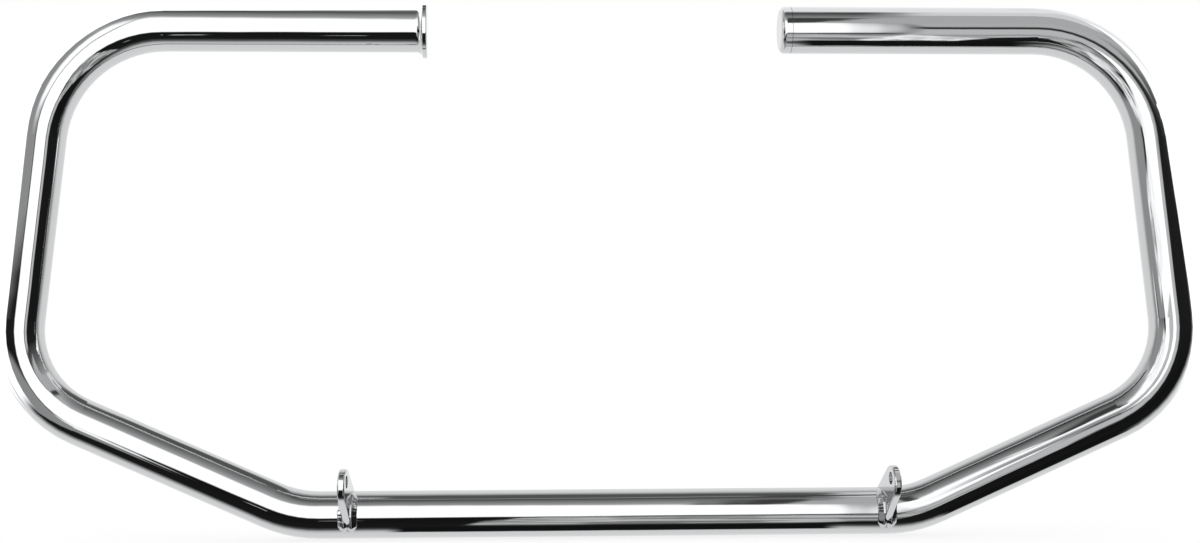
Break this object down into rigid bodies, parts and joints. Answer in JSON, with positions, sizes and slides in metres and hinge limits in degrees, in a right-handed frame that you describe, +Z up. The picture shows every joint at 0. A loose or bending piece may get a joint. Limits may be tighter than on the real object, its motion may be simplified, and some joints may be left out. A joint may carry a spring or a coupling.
{
  "type": "motorcycle engine guard",
  "caption": "Chrome tubular engine guard: a bent tube loop, open at the top, with plugged arm ends and welded bolt tabs on its crossbar.",
  "frame": {"origin": "middle of the crossbar, on the tube's axis", "axes": "+X across the motorcycle, towards the arm with the rounded cap; +Y towards the motorcycle's rear, away from the camera; +Z up, towards the arms"},
  "size_m": [0.8074, 0.0605, 0.3607],
  "materials": {
    "chrome_plate": "polished chrome plate on steel",
    "chrome_weld": "chrome plate over a rippled weld"
  },
  "bodies": {
    "root": {"main_tube": "chrome_plate", "left_end_flange": "chrome_plate", "right_end_cap": "chrome_plate", "left_tab": "chrome_plate", "right_tab": "chrome_plate", "left_tab_inner_weld": "chrome_weld", "left_tab_outer_weld": "chrome_weld", "right_tab_inner_weld": "chrome_weld", "right_tab_outer_weld": "chrome_weld"}
  },
  "joints": []
}
